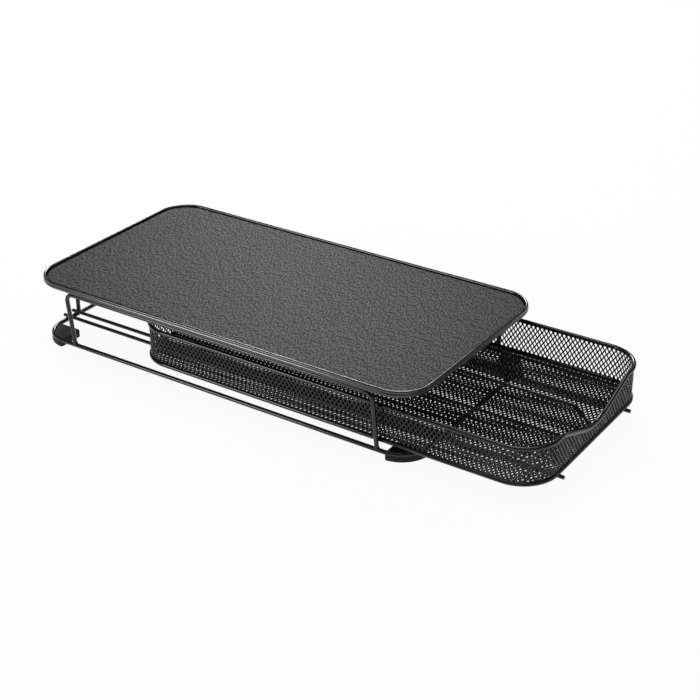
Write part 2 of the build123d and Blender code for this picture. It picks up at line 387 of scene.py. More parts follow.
@dataclass(frozen=True)
class EmbossedMat(Finish):
    """Dark grey vinyl with fine pebbles pressed into it, drawn out across the plate, with painted shade in
    their valleys.

    Attributes:
        dark: Colour in the valleys, painted darker there as shade.
        light: Colour on the crowns, lighter than the painted shade of the valleys.
        pebble_long: Length of a pebble.
        pebble_short: Its width.
        turn: Angle that turns the pebbles' length across the plate.
        scatter: How far the pebbles stray from straight rows, from 0 to 1.
        slope: The share of a pebble where its crown ends and where its valley starts.
        depth: Height of a crown above its valley.
        cloud: Size of the patches where the pebbles are weaker.
        cloud_range: The part of the noise that makes the patches' soft edges.
        weakest: Height of the weakest pebbles, as a share of the strongest.
        grains: How many grains of the fine grain over the pebbles would span a pebble's width.
        grain_height: Height of that grain, as a share of a pebble's.
        shade_and_tone_shares: How much the crowns (painted shade that darkens the valleys), the grain and
            the cloud lighten the colour.
        crown_roughness: Roughness of the crowns.
        valley_roughness: Roughness of the valleys.
        specular: Strength of its reflection.
    """

    dark: tuple[float, float, float] = (0.006, 0.006, 0.0062)
    light: tuple[float, float, float] = (0.058, 0.058, 0.0592)
    pebble_long: float = 3.9 * MM
    pebble_short: float = 1.25 * MM
    turn: float = math.radians(86)
    scatter: float = 0.85
    slope: tuple[float, float] = (0.05, 0.48)
    depth: float = 0.07 * MM
    cloud: float = 60 * MM
    cloud_range: tuple[float, float] = (0.3, 0.7)
    weakest: float = 0.55
    grains: float = 3.0
    grain_height: float = 0.12
    shade_and_tone_shares: tuple[float, float, float] = (0.75, 0.15, 0.1)
    crown_roughness: float = 0.38
    valley_roughness: float = 0.76
    specular: float = 0.35

    def shade(self, graph: Graph) -> None:
        """Build the vinyl: pebbles with valleys darkened by painted shade, stronger in some places than in
        others.

        Args:
            graph: The material's empty graph.
        """
        stretch = (1 / self.pebble_long, 1 / self.pebble_short, 1 / self.pebble_short)
        crown = 1 - graph.pebbles(stretch, self.turn, self.scatter).between(*self.slope)
        cloud = graph.noise(self.cloud, 2.0)
        grain = graph.noise(self.pebble_short / self.grains, 2.0)
        strength = self.weakest + (1 - self.weakest) * cloud.between(*self.cloud_range)
        height = crown * strength + grain * self.grain_height
        # The crowns' share darkens the valleys and lightens the crowns, which is painted shade; the grain
        # and the cloud are random tone.
        crown_shade_share, grain_share, cloud_share = self.shade_and_tone_shares
        share = crown * crown_shade_share + grain * grain_share + cloud * cloud_share
        graph.surface(
            {
                "Base Color": graph.mix(share, self.dark, self.light),
                "Roughness": self.valley_roughness + (self.crown_roughness - self.valley_roughness) * crown,
                "Specular IOR Level": self.specular,
                "Normal": graph.bump(height, self.depth),
            }
        )


@dataclass(frozen=True)
class BlackRubber(Finish):
    """Moulded black rubber, dull and slightly dusty.

    Attributes:
        dark: Its own colour.
        light: Its colour where it has bloomed.
        grain: Size of its grain.
        depth: The grain's depth.
        bloom: Size of the blooms.
        bloom_share: How much of the colour change is bloom, the rest being grain.
        bloom_dulling: How much rougher a bloom is.
        roughness: Roughness of the bare rubber.
        specular: Strength of its reflection.
    """

    dark: tuple[float, float, float] = (0.008, 0.008, 0.008)
    light: tuple[float, float, float] = (0.02, 0.02, 0.021)
    grain: float = 0.5 * MM
    depth: float = 0.03 * MM
    bloom: float = 8 * MM
    bloom_share: float = 0.6
    bloom_dulling: float = 0.16
    roughness: float = 0.58
    specular: float = 0.25

    def shade(self, graph: Graph) -> None:
        """Build the rubber: fine grain with a broad bloom over it.

        Args:
            graph: The material's empty graph.
        """
        grain = graph.noise(self.grain, 3.0)
        bloom = graph.noise(self.bloom, 2.0)
        share = bloom * self.bloom_share + grain * (1 - self.bloom_share)
        graph.surface(
            {
                "Base Color": graph.mix(share, self.dark, self.light),
                "Roughness": self.roughness + self.bloom_dulling * bloom,
                "Specular IOR Level": self.specular,
                "Normal": graph.bump(grain, self.depth),
            }
        )


WIRE_FINISH = BlackEnamel("wire_enamel", Slot.WIRE_STEEL, gloss_low=0.11, gloss_high=0.18, specular=0.5)
PLATE_FINISH = BlackEnamel(
    "plate_enamel",
    Slot.TOP_STEEL,
    gloss_low=0.12,
    gloss_high=0.2,
    peel=1.4 * MM,
    peel_depth=0.01 * MM,
    specular=0.9,
)
NET_FINISH = BlackEnamel(
    "net_enamel",
    Slot.MESH_STEEL,
    gloss_low=0.2,
    gloss_high=0.32,
    peel=0.7 * MM,
    peel_depth=0.02 * MM,
    cloud=12 * MM,
    specular=0.36,
)
MAT_FINISH = EmbossedMat("embossed_vinyl", Slot.TOP_MAT)
FOOT_FINISH = BlackRubber("black_rubber", Slot.FOOT_RUBBER)


# ---------------------------------------------------------------- Meshes
@dataclass
class Shape:
    """Points and faces of a mesh while it is being built."""

    points: list[Vector] = field(default_factory=list)
    faces: list[tuple[int, ...]] = field(default_factory=list)

    @classmethod
    def skin(cls, rings: Sequence[Sequence[Vector]], closed: bool = False) -> "Shape":
        """Skin a row of rings that have as many points each.

        Args:
            rings: The rings, in order.
            closed: Whether the last ring meets the first; if not, both ends are capped.

        Returns:
            The skin.
        """
        count = len(rings[0])
        made = cls([point for ring in rings for point in ring])
        for a in range(len(rings) if closed else len(rings) - 1):
            b = (a + 1) % len(rings)
            for i in range(count):
                j = (i + 1) % count
                made.faces.append((a * count + i, a * count + j, b * count + j, b * count + i))
        if not closed:
            last = (len(rings) - 1) * count
            made.faces.append(tuple(reversed(range(count))))
            made.faces.append(tuple(range(last, last + count)))
        return made

    def add(self, other: "Shape") -> None:
        """Take in another shape's points and faces.

        Args:
            other: The other shape.
        """
        start = len(self.points)
        self.points.extend(other.points)
        self.faces.extend(tuple(start + corner for corner in face) for face in other.faces)

    def outward_faces(self) -> list[tuple[int, ...]]:
        """Turn all faces outwards, going by the sign of the volume inside them.

        Returns:
            The faces.
        """
        places = np.array(self.points, float)
        volume = 0.0
        for face in self.faces:
            for k in range(1, len(face) - 1):
                volume += float(np.dot(places[face[0]], np.cross(places[face[k]], places[face[k + 1]])))
        return self.faces if volume > 0 else [tuple(reversed(face)) for face in self.faces]

    def hang(self, name: str, finish: Finish, body: Body, *nodes: str) -> None:
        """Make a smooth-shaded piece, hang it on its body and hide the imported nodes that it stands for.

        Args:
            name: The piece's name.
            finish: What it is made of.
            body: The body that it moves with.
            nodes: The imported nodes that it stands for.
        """
        mesh = bpy.data.meshes.new(name)
        mesh.from_pydata([tuple(point) for point in self.points], [], self.outward_faces())
        mesh.polygons.foreach_set("use_smooth", [True] * len(mesh.polygons))
        mesh.materials.append(finish.material())
        piece = bpy.data.objects.new(name, mesh)
        bpy.context.scene.collection.objects.link(piece)
        if nodes:
            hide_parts(*nodes)
        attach(piece, body.value)
        log.info("%s: %d faces, rides on %s", name, len(mesh.polygons), body.value)


@dataclass
class Block:
    """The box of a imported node."""

    low: Vector
    high: Vector

    @classmethod
    def of(cls, node: str) -> "Block":
        """Read the box of the node with this name."""
        return cls(*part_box(node))

    @property
    def centre(self) -> Vector:
        """The middle of the box."""
        return (self.low + self.high) / 2

    @property
    def size(self) -> Vector:
        """The box's length, width and height."""
        return self.high - self.low

    def end_x(self, end: End, inset: float) -> float:
        """Give the X of the box's face at an end, drawn in by inset."""
        return (self.high.x if end is End.FRONT else self.low.x) - end.value * inset

    def side_y(self, side: Side, inset: float) -> float:
        """Give the Y of the box's face on a side, drawn in by inset."""
        return (self.high.y if side is Side.FAR else self.low.y) - side.value * inset


@dataclass
class Stop:
    """A place along a route and the way that the route runs there."""

    place: Vector
    along: Vector


@dataclass
class Route:
    """Straight runs joined by tangent bends.

    Attributes:
        corners: The points where the runs would meet.
        bends: The bend's radius at each corner, or between the two ends if the route is open.
        closed: Whether the last corner leads back to the first.
        step: Largest turn between two stops, in radians.
    """

    corners: Sequence[Vector]
    bends: Sequence[float]
    closed: bool = False
    step: float = math.radians(6)

    def bend(self, before: Vector, corner: Vector, after: Vector, radius: float) -> list[Stop]:
        """Round one corner.

        Args:
            before: The corner before it.
            corner: The corner that is rounded.
            after: The corner after it.
            radius: The bend's radius.

        Returns:
            The stops on the bend, with both of its ends.
        """
        arriving = (corner - before).normalized()
        leaving = (after - corner).normalized()
        turn = arriving.angle(leaving)
        inward = (leaving - arriving * arriving.dot(leaving)).normalized()
        first = corner - arriving * radius * math.tan(turn / 2)
        centre = first + inward * radius
        count = max(3, math.ceil(turn / self.step))
        stops = []
        for k in range(count + 1):
            angle = turn * k / count
            spoke = arriving * math.sin(angle) - inward * math.cos(angle)
            along = arriving * math.cos(angle) + inward * math.sin(angle)
            stops.append(Stop(centre + spoke * radius, along))
        return stops

    def stops(self) -> list[Stop]:
        """Follow the whole route.

        Returns:
            Its stops, in order.
        """
        corners = [Vector(corner) for corner in self.corners]
        count = len(corners)
        inner = range(count) if self.closed else range(1, count - 1)
        stops = []
        for i, radius in zip(inner, self.bends, strict=True):
            stops.extend(self.bend(corners[i - 1], corners[i], corners[(i + 1) % count], radius))
        if not self.closed:
            start_along = (corners[1] - corners[0]).normalized()
            end_along = (corners[-1] - corners[-2]).normalized()
            stops.insert(0, Stop(corners[0], start_along))
            stops.append(Stop(corners[-1], end_along))
        return stops


@dataclass
class Wire:
    """A length of round wire.

    Attributes:
        route: Where its centreline runs.
        diameter: Its thickness.
        reference: A direction that it never runs along.
        sides: Points around it.
        nose: Radius of the rounding at a cut end.
        nose_steps: Steps of that rounding.
    """

    route: Route
    diameter: float
    reference: Vector
    sides: int = 24
    nose: float = 0.45 * MM
    nose_steps: int = 3

    def ring(self, stop: Stop, radius: float, shift: float = 0.0) -> list[Vector]:
        """Give a circle around one stop.

        Args:
            stop: The stop.
            radius: The circle's radius.
            shift: How far the circle is moved along the wire.

        Returns:
            The points.
        """
        side = self.reference.cross(stop.along).normalized()
        top = stop.along.cross(side)
        centre = stop.place + stop.along * shift
        angles = (2 * math.pi * k / self.sides for k in range(self.sides))
        return [centre + (side * math.cos(a) + top * math.sin(a)) * radius for a in angles]

    def nose_rings(self, stop: Stop, way: int) -> list[list[Vector]]:
        """Round off a cut end.

        Args:
            stop: The end.
            way: -1 at the route's start and 1 at its end.

        Returns:
            The shrinking rings, from the full one outwards.
        """
        rings = []
        for k in range(self.nose_steps + 1):
            angle = QUARTER * k / self.nose_steps
            radius = self.diameter / 2 - self.nose * (1 - math.cos(angle))
            rings.append(self.ring(stop, radius, -way * self.nose * (1 - math.sin(angle))))
        return rings

    def shape(self) -> Shape:
        """Sweep the wire.

        Returns:
            Its skin.
        """
        stops = self.route.stops()
        radius = self.diameter / 2
        if self.route.closed:
            return Shape.skin([self.ring(stop, radius) for stop in stops], closed=True)
        rings = list(reversed(self.nose_rings(stops[0], -1)))
        rings.extend(self.ring(stop, radius) for stop in stops[1:-1])
        rings.extend(self.nose_rings(stops[-1], 1))
        return Shape.skin(rings)


@dataclass
class RoundedOutline:
    """A rectangle with rounded corners, lying flat.

    Its corners are numbered anticlockwise from 0 for the front's near one.

    Attributes:
        centre: Its middle.
        length: Its size along X.
        width: Its size along Y.
        corner: Its corners' radius.
        corner_steps: Steps around each corner.
    """

    centre: Vector
    length: float
    width: float
    corner: float
    corner_steps: int = 18

    @property
    def around(self) -> float:
        """The way once around it."""
        return 2 * (self.length + self.width - 4 * self.corner) + 2 * math.pi * self.corner

    def corners(self, inset: float, height: float) -> list[Vector]:
        """Give the four corners of the sharp rectangle.

        Args:
            inset: How far the rectangle is drawn in.
            height: Its height.

        Returns:
            The corners, in their order.
        """
        reach_x = self.length / 2 - inset
        reach_y = self.width / 2 - inset
        ways = ((1, -1), (1, 1), (-1, 1), (-1, -1))
        return [Vector((self.centre.x + x * reach_x, self.centre.y + y * reach_y, height)) for x, y in ways]

    def ring(self, inset: float, height: float) -> list[Vector]:
        """Give the rounded outline.

        Args:
            inset: How far it is drawn in.
            height: Its height.

        Returns:
            The points, anticlockwise from corner 0.
        """
        radius = self.corner - inset
        ring = []
        for number, bend in enumerate(self.corners(self.corner, height)):
            for k in range(self.corner_steps + 1):
                angle = QUARTER * (number - 1 + k / self.corner_steps)
                ring.append(bend + Vector((math.cos(angle), math.sin(angle), 0.0)) * radius)
        return ring

    def sweep(self, section: Section) -> Shape:
        """Sweep a section of insets and heights round the outline, capped inside its first and last ring."""
        return Shape.skin([self.ring(inset, height) for inset, height in section])

    def wire(self, diameter: float, height: float) -> Shape:
        """Bend a closed wire whose middle follows the outline at a height."""
        route = Route(self.corners(0.0, height), [self.corner] * 4, closed=True)
        return Wire(route, diameter, UP).shape()

    def inside(self, x: float, y: float, inset: float) -> Flat:
        """Move a point to the nearest one inside the outline.

        Args:
            x: Its place along X from the middle.
            y: Its place along Y from the middle.
            inset: How far the outline is drawn in.

        Returns:
            The new x and y.
        """
        half_x = self.length / 2 - inset
        half_y = self.width / 2 - inset
        radius = self.corner - inset
        x = min(max(x, -half_x), half_x)
        y = min(max(y, -half_y), half_y)
        over_x = abs(x) - (half_x - radius)
        over_y = abs(y) - (half_y - radius)
        away = math.hypot(over_x, over_y)
        if over_x > 0 and over_y > 0 and away > radius:
            x = math.copysign(half_x - radius + over_x * radius / away, x)
            y = math.copysign(half_y - radius + over_y * radius / away, y)
        return x, y

    def walk(self, distance: float) -> tuple[Vector, Vector]:
        """Follow the outline anticlockwise from the middle of the near side.

        Args:
            distance: How far to go.

        Returns:
            The place reached, at the centre's height, and the level outward direction there.
        """
        straights = (self.length - 2 * self.corner, self.width - 2 * self.corner)
        quarter = QUARTER * self.corner
        left = (distance + straights[0] / 2) % self.around
        for number, bend in enumerate(self.corners(self.corner, self.centre.z)):
            straight = straights[number % 2]
            turned = max(left - straight, 0.0)
            if turned <= quarter:
                heading = QUARTER * (number - 1) + turned / self.corner
                outward = Vector((math.cos(heading), math.sin(heading), 0.0))
                along = Vector((-outward.y, outward.x, 0.0))
                return bend + outward * self.corner - along * max(straight - left, 0.0), outward
            left -= straight + quarter
        # Rounding can leave a hair's breadth past the last corner.
        return self.walk(0.0)


@dataclass
class DiamondNet:
    """A sheet of steel slit and drawn out into diamonds, described flat: u along a row, v across the rows.

    Attributes:
        pitch_u: Spacing of the diamonds along a row.
        pitch_v: Spacing of every other row.
        open_u: Share of a diamond's width that is open.
        open_v: Share of its height that is open.
        ridge: Half the thickness along the middle of a strand.
        edge: Half the thickness where a strand meets its hole.
        border: Width of the strip that is left whole around the outside.
        smallest: A hole that the outline cuts to less than this share is left out with its diamond.
    """

    pitch_u: float = 3.9 * MM
    pitch_v: float = 5.7 * MM
    open_u: float = 0.6
    open_v: float = 0.73
    ridge: float = 0.42 * MM
    edge: float = 0.2 * MM
    border: float = 0.5 * MM
    smallest: float = 0.03

    def weave(
        self, length: float, height: float, limit: Limit, placed: Placed, wraps: bool = False
    ) -> Shape:
        """Lay out the whole net, with its pitches stretched to fit whole diamonds.

        Args:
            length: Its size along u.
            height: Its size along v.
            limit: Moves a point u, v to the nearest one inside the outline drawn in by the third number.
            placed: Puts u, v and a height above the sheet into space.
            wraps: Whether the last column meets the first.

        Returns:
            The net, closed all round.
        """
        shape = Shape()
        knuckles: dict[tuple[int, int], int] = {}
        open_edges: set[tuple[int, int]] = set()
        span = 2 * round(length / self.pitch_u)
        rows = round(height / self.pitch_v)
        half_u, half_v = length / span, height / rows / 2
        whole = 2 * self.open_u * self.open_v * half_u * half_v

        def pair(u: float, v: float, half: float) -> int:
            """Add the points above and below a place, and give the upper one's number."""
            shape.points.extend((placed(u, v, half), placed(u, v, -half)))
            return len(shape.points) - 2

        def knuckle(p: int, q: int) -> int:
            """Find or add the pair of points where strands meet.

            Args:
                p: Half pitches along u.
                q: Half pitches along v.

            Returns:
                The upper point's number.
            """
            key = (p % span if wraps else p, q)
            if key not in knuckles:
                knuckles[key] = pair(*limit(p * half_u, q * half_v, 0.0), self.ridge)
            return knuckles[key]

        for q in range(2 * rows + 1):
            for p in range((q + 1) % 2, span + (0 if wraps else 1), 2):
                hole = []
                for step_p, step_q in ((1, 0), (0, 1), (-1, 0), (0, -1)):
                    u = (p + step_p * self.open_u) * half_u
                    v = (q + step_q * self.open_v) * half_v
                    hole.append(limit(u, v, self.border))
                if polygon_area(hole) < self.smallest * whole:
                    continue
                outer = [knuckle(p + 1, q), knuckle(p, q + 1), knuckle(p - 1, q), knuckle(p, q - 1)]
                inner = [pair(u, v, self.edge) for u, v in hole]
                for k, following in enumerate((1, 2, 3, 0)):
                    a, b = outer[k], outer[following]
                    c, d = inner[k], inner[following]
                    shape.faces.append((a, b, d, c))
                    shape.faces.append((a + 1, c + 1, d + 1, b + 1))
                    shape.faces.append((c, d, d + 1, c + 1))
                    if (b, a) in open_edges:
                        open_edges.remove((b, a))
                    else:
                        open_edges.add((a, b))
        shape.faces.extend((b, a, a + 1, b + 1) for a, b in sorted(open_edges))
        return shape


def polygon_area(corners: Sequence[Flat]) -> float:
    """Measure the area inside flat corners.

    Args:
        corners: The corners, in order.

    Returns:
        The area, negative if they run clockwise.
    """
    doubled = 0.0
    for (x1, y1), (x2, y2) in zip(corners, [*corners[1:], corners[0]], strict=True):
        doubled += x1 * y2 - x2 * y1
    return doubled / 2


def arc(centre: Flat, half_axes: Flat, start: float, end: float) -> Section:
    """Give insets and heights along part of an ellipse in a section.

    Args:
        centre: The ellipse's middle: how far in from the outline, and how high.
        half_axes: Its level and its upright half axis.
        start: Angle where the arc starts, in degrees, 0 inwards and 90 upwards.
        end: Angle where it ends.

    Returns:
        The points, in order.
    """
    count = round(abs(end - start) / ARC_STEP)
    angles = [math.radians(start + (end - start) * k / count) for k in range(count + 1)]
    (inset, height), (across, up) = centre, half_axes
    return [(inset + across * math.cos(angle), height + up * math.sin(angle)) for angle in angles]


# ---------------------------------------------------------------- Frame
@dataclass
class Plate:
    """The shallow pressed plate with its rolled rim, and the mat that lies in it.

    Attributes:
        corner: Radius of the plate's corners.
        sheet: Thickness of its steel.
        bead: Radius of the bead along the rim's top.
        bead_inset: How far the bead's middle lies in from the plate's edge.
        bulge_width: Level half axis of the rounded wall below the bead.
        bulge_height: Upright half axis of that wall.
        fillet: Radius between the rim and the deck.
        rim_width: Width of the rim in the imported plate.
        groove: Gap between that width and the mat.
        mat_round: Radius along the mat's top edge.
        flat: Width of the level strip inside a rounded edge.
        bead_end: Angle where the bead runs into the bulge, in degrees.
        bulge_start: Angle where the bulge starts there, in degrees.
    """

    corner: float = 28 * MM
    sheet: float = 0.8 * MM
    bead: float = 1.3 * MM
    bead_inset: float = 1.55 * MM
    bulge_width: float = 1.6 * MM
    bulge_height: float = 1.9 * MM
    fillet: float = 0.5 * MM
    rim_width: float = 3.2 * MM
    groove: float = 0.4 * MM
    mat_round: float = 0.8 * MM
    flat: float = 1.5 * MM
    bead_end: float = 220.0
    bulge_start: float = 128.0

    def pressed(self, outline: RoundedOutline, low: float, top: float) -> None:
        """Sweep the plate's section round its outline.

        Args:
            outline: The plate's outline.
            low: Height of its underside.
            top: Height of its rim.
        """
        deck = low + self.sheet
        rim_foot = self.bead_inset + self.bead + self.fillet
        bulge = (self.bulge_width, self.bulge_height)
        section = [(rim_foot + self.flat, deck)]
        section += arc((rim_foot, deck + self.fillet), (self.fillet, self.fillet), 270, 180)
        section += arc((self.bead_inset, top - self.bead), (self.bead, self.bead), 0, self.bead_end)
        section += arc((self.bulge_width, low + self.bulge_height), bulge, self.bulge_start, 270)
        section.append((rim_foot + self.flat, low))
        outline.sweep(section).hang("pressed_plate", PLATE_FINISH, Body.FRAME, "top_plate")

    def mat(self, outline: RoundedOutline) -> None:
        """Lay the mat inside the rim.

        Args:
            outline: The plate's outline.
        """
        box = Block.of("top_mat")
        edge = self.rim_width + self.groove
        level = edge + self.mat_round
        section = [(edge, box.low.z)]
        section += arc((level, box.high.z - self.mat_round), (self.mat_round, self.mat_round), 180, 90)
        section.append((level + self.flat, box.high.z))
        outline.sweep(section).hang("vinyl_mat", MAT_FINISH, Body.FRAME, "top_mat")

    def build(self) -> None:
        """Make the plate and the mat."""
        box = Block.of("top_plate")
        outline = RoundedOutline(box.centre, box.size.x, box.size.y, self.corner)
        self.pressed(outline, box.low.z, box.high.z)
        self.mat(outline)


@dataclass
class WireFrame:
    """The base loop, the two side frames, the rear stop and the four rails.

    Attributes:
        wire: Diameter of the frame's wire.
        rail_wire: Diameter of the rails.
        base_corner: Bend radius of the base loop's corners, along the wire's middle.
        side_bend: Bend radius at the top of the side frames.
        stop_bend: Bend radius at the top of the rear stop.
        sink: How far a welded foot goes into the wire that it stands on.
    """

    wire: float = 3.6 * MM
    rail_wire: float = 3.0 * MM
    base_corner: float = 24 * MM
    side_bend: float = 7 * MM
    stop_bend: float = 8 * MM
    sink: float = 0.7 * MM

    def base_loop(self) -> None:
        """Bend the base loop."""
        loop = Block.of("base_loop")
        length, width = loop.size.x - self.wire, loop.size.y - self.wire
        outline = RoundedOutline(loop.centre, length, width, self.base_corner)
        outline.wire(self.wire, loop.centre.z).hang("base_wire", WIRE_FINISH, Body.FRAME, "base_loop")

    def hoop(self, node: str, corners: Sequence[Vector], bend: float, reference: Vector) -> None:
        """Bend an open hoop from four corners.

        Args:
            node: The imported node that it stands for.
            corners: Its two feet and two top corners, in order.
            bend: Bend radius at the top.
            reference: A direction that the hoop never runs along.
        """
        shape = Wire(Route(corners, [bend, bend]), self.wire, reference).shape()
        shape.hang(f"{node}_wire", WIRE_FINISH, Body.FRAME, node)

    def side_frame(self, side: Side) -> None:
        """Bend one side frame, which leans outwards and rakes back as far.

        Args:
            side: The side that it stands on.
        """
        node = f"side_frame_{side.name.lower()}"
        box = Block.of(node)
        loop = Block.of("base_loop")
        radius = self.wire / 2
        foot_y, top_y = loop.side_y(side, radius), box.side_y(side, radius)
        foot_z, top_z = loop.high.z - self.sink, box.high.z - radius
        rake = box.size.y - self.wire
        rear, front = box.end_x(End.REAR, radius), box.end_x(End.FRONT, radius)
        corners = [
            Vector((rear + rake, foot_y, foot_z)),
            Vector((rear, top_y, top_z)),
            Vector((front - rake, top_y, top_z)),
            Vector((front, foot_y, foot_z)),
        ]
        self.hoop(node, corners, self.side_bend, SIDEWAYS)

    def rear_stop(self) -> None:
        """Bend the hoop that stops the drawer at the rear."""
        box = Block.of("rear_stop")
        radius = self.wire / 2
        foot_z, top_z = Block.of("base_loop").high.z - self.sink, box.high.z - radius
        near, far = box.side_y(Side.NEAR, radius), box.side_y(Side.FAR, radius)
        places = ((near, foot_z), (near, top_z), (far, top_z), (far, foot_z))
        corners = [Vector((box.centre.x, y, z)) for y, z in places]
        self.hoop("rear_stop", corners, self.stop_bend, LENGTHWISE)

    def build(self) -> None:
        """Bend every wire of the frame."""
        self.base_loop()
        for side in Side:
            self.side_frame(side)
        self.rear_stop()
        for node in RAILS:
            straight_wire(node, self.rail_wire, Body.FRAME)


def straight_wire(node: str, diameter: float, body: Body) -> None:
    """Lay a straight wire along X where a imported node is.

    Args:
        node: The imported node.
        diameter: The wire's diameter.
        body: The body that it moves with.
    """
    box = Block.of(node)
    ends = [Vector((x, box.centre.y, box.centre.z)) for x in (box.low.x, box.high.x)]
    shape = Wire(Route(ends, []), diameter, UP).shape()
    shape.hang(f"{node}_wire", WIRE_FINISH, body, node)


@dataclass
class Feet:
    """The rubber corner feet, moulded round the base loop's corners.

    Attributes:
        tuck: How far a foot's outer wall lies inside the wire's outer side.
        short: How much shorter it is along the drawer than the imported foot.
        inner_corner: Radius of its three small corners.
        edge: Radius along its top and bottom edges.
        flat: Width of the level strip inside those edges.
        small_steps: Steps round a small corner.
        sweep_steps: Steps round the large corner.
    """

    tuck: float = 0.15 * MM
    short: float = 3.7 * MM
    inner_corner: float = 2.2 * MM
    edge: float = 0.8 * MM
    flat: float = 0.8 * MM
    small_steps: int = 6
    sweep_steps: int = 24

    def outline(self, length: float, width: float, inset: float) -> Section:
        """Give a foot's outline: the loop's large round corner, cut off by two straight inner edges.

        Small bends round the three places where the large corner and the edges meet.

        Args:
            length: The foot's size along X.
            width: Its size along Y.
            inset: How far the outline is drawn in.

        Returns:
            Distances inwards along X and Y from the loop's outer corner, all round.
        """
        sweep = WireFrame.base_corner + WireFrame.wire / 2 - self.tuck
        small = self.inner_corner - inset
        far_x, far_y = length - inset - small, width - inset - small
        reach = sweep - inset - small
        near_x = sweep - math.sqrt(reach**2 - (sweep - far_y) ** 2)
        near_y = sweep - math.sqrt(reach**2 - (sweep - far_x) ** 2)
        leaving = math.atan2(near_y - sweep, far_x - sweep)
        arriving = math.atan2(far_y - sweep, near_x - sweep) + 2 * math.pi
        bends = (
            (far_x, near_y, small, leaving, 0.0, self.small_steps),
            (far_x, far_y, small, 0.0, QUARTER, self.small_steps),
            (near_x, far_y, small, QUARTER, arriving, self.small_steps),
            (sweep, sweep, sweep - inset, arriving, leaving + 2 * math.pi, self.sweep_steps),
        )
        points = []
        for x, y, radius, start, end, steps in bends:
            for k in range(steps + 1):
                angle = start + (end - start) * k / steps
                points.append((x + radius * math.cos(angle), y + radius * math.sin(angle)))
        return points

    def foot(self, end: End, side: Side) -> None:
        """Mould one foot.

        Args:
            end: The end that it stands at.
            side: The side that it stands on.
        """
        node = f"foot_{side.name.lower()}_{end.name.lower()}"
        box = Block.of(node)
        loop = Block.of("base_loop")
        corner = Vector((loop.end_x(end, self.tuck), loop.side_y(side, self.tuck), 0.0))
        section = [(self.edge + self.flat, box.low.z)]
        section += arc((self.edge, box.low.z + self.edge), (self.edge, self.edge), 270, 180)
        section += arc((self.edge, box.high.z - self.edge), (self.edge, self.edge), 180, 90)
        section.append((self.edge + self.flat, box.high.z))
        rings = []
        for inset, height in section:
            inwards = self.outline(box.size.x - self.short, box.size.y, inset)
            rings.append([corner + Vector((-end.value * x, -side.value * y, height)) for x, y in inwards])
        Shape.skin(rings).hang(f"{node}_rubber", FOOT_FINISH, Body.FRAME, node)

    def build(self) -> None:
        """Mould the four feet."""
        for end in End:
            for side in Side:
                self.foot(end, side)


def nugget(centre: Vector, half_axes: Vector) -> Shape:
    """Give the small swollen bead of a spot weld.

    Args:
        centre: Its middle.
        half_axes: Its half sizes along X, Y and Z.

    Returns:
        An ellipsoid, flat at its very top and bottom.
    """
    around, upward = 14, 7
    rings = []
    for k in range(1, upward):
        tilt = math.pi * k / upward - QUARTER
        ring = []
        for i in range(around):
            turn = 2 * math.pi * i / around
            way = Vector((math.cos(tilt) * math.cos(turn), math.cos(tilt) * math.sin(turn), math.sin(tilt)))
            ring.append(centre + half_axes * way)
        rings.append(ring)
    return Shape.skin(rings)


@dataclass
class Welds:
    """The spot welds where wires cross or stand on one another.

    Attributes:
        crossing: Half axes of the bead where two lying wires cross.
        standing: Half axes of the bead round the foot of an upright wire.
    """

    crossing: Vector = field(default_factory=lambda: Vector((1.5, 1.5, 0.75)) * MM)
    standing: Vector = field(default_factory=lambda: Vector((2.5, 2.1, 0.9)) * MM)

    def frame(self) -> None:
        """Weld the rails, the side frames and the rear stop to the base loop."""
        loop = Block.of("base_loop")
        radius = loop.size.z / 2
        shape = Shape()
        for node in RAILS:
            for end in End:
                place = Vector((loop.end_x(end, radius), Block.of(node).centre.y, loop.high.z))
                shape.add(nugget(place, self.crossing))
        for side in Side:
            box = Block.of(f"side_frame_{side.name.lower()}")
            rake = box.size.y - 2 * radius
            for x in (box.end_x(End.REAR, radius) + rake, box.end_x(End.FRONT, radius)):
                shape.add(nugget(Vector((x, loop.side_y(side, radius), loop.high.z)), self.standing))
            stop = Block.of("rear_stop")
            place = Vector((stop.centre.x, stop.side_y(side, radius), loop.high.z))
            shape.add(nugget(place, self.standing.yxz))
        shape.hang("frame_welds", WIRE_FINISH, Body.FRAME)

    def drawer(self) -> None:
        """Weld the runners under the bottom rim."""
        rim = Block.of("drawer_bottom_rim")
        radius = rim.size.z / 2
        shape = Shape()
        for node in RUNNERS:
            for end in End:
                place = Vector((rim.end_x(end, radius), Block.of(node).centre.y, rim.low.z))
                shape.add(nugget(place, self.crossing))
        shape.hang("drawer_welds", WIRE_FINISH, Body.DRAWER)

    def build(self) -> None:
        """Make both bodies' welds."""
        self.frame()
        self.drawer()


